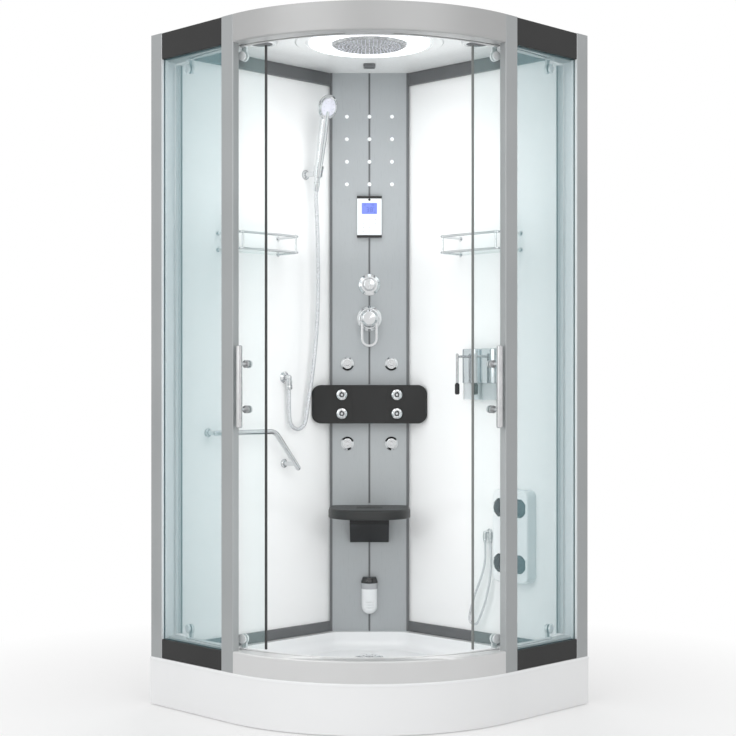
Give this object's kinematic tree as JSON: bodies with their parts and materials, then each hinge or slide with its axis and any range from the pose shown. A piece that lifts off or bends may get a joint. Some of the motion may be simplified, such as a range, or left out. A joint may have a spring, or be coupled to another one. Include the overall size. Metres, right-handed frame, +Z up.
{
  "type": "steam shower cabin",
  "caption": "Corner steam shower cabin: quarter-round tray, glazed front with two curved sliding doors, massage column, folding seat, rain head and hand shower",
  "frame": {"origin": "centre of the cabin's square plan, on the floor under the feet", "axes": "+Z up along the cabin's height; the quarter-round front faces +X -Y and the column stands in the corner at -X +Y; left and right sides mirror about the vertical plane through that diagonal"},
  "size_m": [1, 1, 2.15],
  "materials": {
    "tray_white": "glossy white acrylic",
    "wall_white": "glossy white",
    "roof_white": "glossy white",
    "panel_white": "glossy white",
    "column_grey": "satin bluish grey",
    "satin_aluminium": "satin anodised",
    "black_cover": "matte black",
    "dark_trim": "satin dark grey",
    "side_glass": "clear safety glass",
    "door_glass": "clear curved safety glass",
    "shelf_glass": "clear glass",
    "seal_dark": "dark flexible seal",
    "chrome": "polished",
    "satin_chrome": "satin",
    "dark_chrome": "polished",
    "brass": "plain cast",
    "stainless_steel": "brushed",
    "galvanised_steel": "galvanised",
    "grey_plastic": "matte",
    "black_plastic": "satin",
    "backrest_black": "satin moulded",
    "seat_black": "satin",
    "roller_black": "satin",
    "screen_blue": "lit display",
    "light_diffuser": "lit opal diffuser",
    "hose_silver": "silver grey hose"
  },
  "bodies": {
    "cabin": {"tray_shell": "tray_white", "tray_apron": "tray_white", "tray_frame": "galvanised_steel", "tray_feet": "black_plastic", "drain_trap": "grey_plastic", "drain_cover": "chrome", "bottom_rail": "satin_aluminium", "top_rail": "satin_aluminium", "front_posts": "satin_aluminium", "wall_profiles": "satin_aluminium", "side_glass": "side_glass", "corner_covers": "black_cover", "rear_wall_left": "wall_white", "rear_wall_right": "wall_white", "dark_trims": "dark_trim", "column_panel": "column_grey", "horizontal_jets": "chrome", "roof_shell": "roof_white", "light_ring": "light_diffuser", "rain_head": "dark_chrome", "roof_grilles": "dark_trim", "fan_housing": "black_plastic", "control_panel": "panel_white", "control_screen": "screen_blue", "valve_plates": "chrome", "valves_and_pipes": "brass", "jet_rings": "chrome", "backrest_pad": "backrest_black", "seat_bracket": "black_plastic", "steam_outlet": "panel_white", "steam_generator": "stainless_steel", "shower_cradle": "chrome", "wall_elbows": "chrome", "shower_hose": "hose_silver", "foot_hose": "hose_silver", "shelf_rails": "chrome", "shelf_glass": "shelf_glass", "grab_bar": "chrome", "soap_dispenser": "chrome", "foot_massager": "panel_white"},
    "door_left": {"door_glass_left": "door_glass", "door_seals_left": "seal_dark", "door_hardware_left": "satin_chrome"},
    "door_right": {"door_glass_right": "door_glass", "door_seals_right": "seal_dark", "door_hardware_right": "satin_chrome"},
    "fan_rotor": {"fan_rotor": "black_plastic"},
    "diverter_knob": {"diverter_knob": "chrome"},
    "mixer_cap": {"mixer_cap": "chrome"},
    "mixer_lever": {"mixer_lever": "chrome"},
    "jet_nozzle_1": {"jet_nozzle_1": "chrome"},
    "jet_nozzle_2": {"jet_nozzle_2": "chrome"},
    "jet_nozzle_3": {"jet_nozzle_3": "chrome"},
    "jet_nozzle_4": {"jet_nozzle_4": "chrome"},
    "seat": {"seat_plate": "seat_black"},
    "hand_shower": {"hand_shower": "chrome"},
    "soap_lever_left": {"soap_lever_left": "black_plastic"},
    "soap_lever_right": {"soap_lever_right": "black_plastic"},
    "foot_roller_lower": {"foot_roller_lower": "roller_black"},
    "foot_roller_upper": {"foot_roller_upper": "roller_black"}
  },
  "joints": [
    {"name": "door_left_slide", "type": "hinge", "parent": "cabin", "child": "door_left", "pos_m": [-0.20434, 0.41414, 1.141], "axis": [0, 0, 1], "range_deg": [0, 22.35]},
    {"name": "door_right_slide", "type": "hinge", "parent": "cabin", "child": "door_right", "pos_m": [-0.41414, 0.20434, 1.141], "axis": [0, 0, 1], "range_deg": [-22.35, 0]},
    {"name": "fan_spin", "type": "hinge", "parent": "cabin", "child": "fan_rotor", "pos_m": [0.24537, 0.24537, 2.142], "axis": [0, 0, 1], "continuous": true},
    {"name": "diverter_turn", "type": "hinge", "parent": "cabin", "child": "diverter_knob", "pos_m": [-0.3334, 0.3334, 1.381], "axis": [0.7071, -0.7071, 0], "range_deg": [-120, 120]},
    {"name": "mixer_turn", "type": "hinge", "parent": "cabin", "child": "mixer_cap", "pos_m": [-0.3334, 0.3334, 1.261], "axis": [0.7071, -0.7071, 0], "range_deg": [-45, 45]},
    {"name": "mixer_lift", "type": "hinge", "parent": "mixer_cap", "child": "mixer_lever", "pos_m": [-0.31219, 0.31219, 1.253], "axis": [-0.7071, -0.7071, 0], "range_deg": [0, 18]},
    {"name": "jet_1_tilt", "type": "hinge", "parent": "cabin", "child": "jet_nozzle_1", "pos_m": [-0.40199, 0.29168, 1.101], "axis": [0.7071, 0.7071, 0], "range_deg": [-15, 15]},
    {"name": "jet_2_tilt", "type": "hinge", "parent": "cabin", "child": "jet_nozzle_2", "pos_m": [-0.29168, 0.40199, 1.101], "axis": [0.7071, 0.7071, 0], "range_deg": [-15, 15]},
    {"name": "jet_3_tilt", "type": "hinge", "parent": "cabin", "child": "jet_nozzle_3", "pos_m": [-0.40199, 0.29168, 0.819], "axis": [0.7071, 0.7071, 0], "range_deg": [-15, 15]},
    {"name": "jet_4_tilt", "type": "hinge", "parent": "cabin", "child": "jet_nozzle_4", "pos_m": [-0.29168, 0.40199, 0.819], "axis": [0.7071, 0.7071, 0], "range_deg": [-15, 15]},
    {"name": "seat_fold", "type": "hinge", "parent": "cabin", "child": "seat", "pos_m": [-0.31537, 0.31537, 0.5825], "axis": [-0.7071, -0.7071, 0], "range_deg": [0, 90]},
    {"name": "hand_shower_lift", "type": "slide", "parent": "cabin", "child": "hand_shower", "axis": [0.1736, 0, 0.9848], "range_m": [0, 0.06], "deforming": ["shower_hose"]},
    {"name": "soap_left_press", "type": "slide", "parent": "cabin", "child": "soap_lever_left", "axis": [0, 1, 0], "range_m": [0, 0.008], "stiffness_N_per_m": 250, "springref_m": -0.004},
    {"name": "soap_right_press", "type": "slide", "parent": "cabin", "child": "soap_lever_right", "axis": [0, 1, 0], "range_m": [0, 0.008], "stiffness_N_per_m": 250, "springref_m": -0.004},
    {"name": "foot_lower_spin", "type": "hinge", "parent": "cabin", "child": "foot_roller_lower", "pos_m": [0.243, 0.42, 0.437], "axis": [1, 0, 0], "continuous": true},
    {"name": "foot_upper_spin", "type": "hinge", "parent": "cabin", "child": "foot_roller_upper", "pos_m": [0.243, 0.42, 0.6206], "axis": [1, 0, 0], "continuous": true}
  ]
}
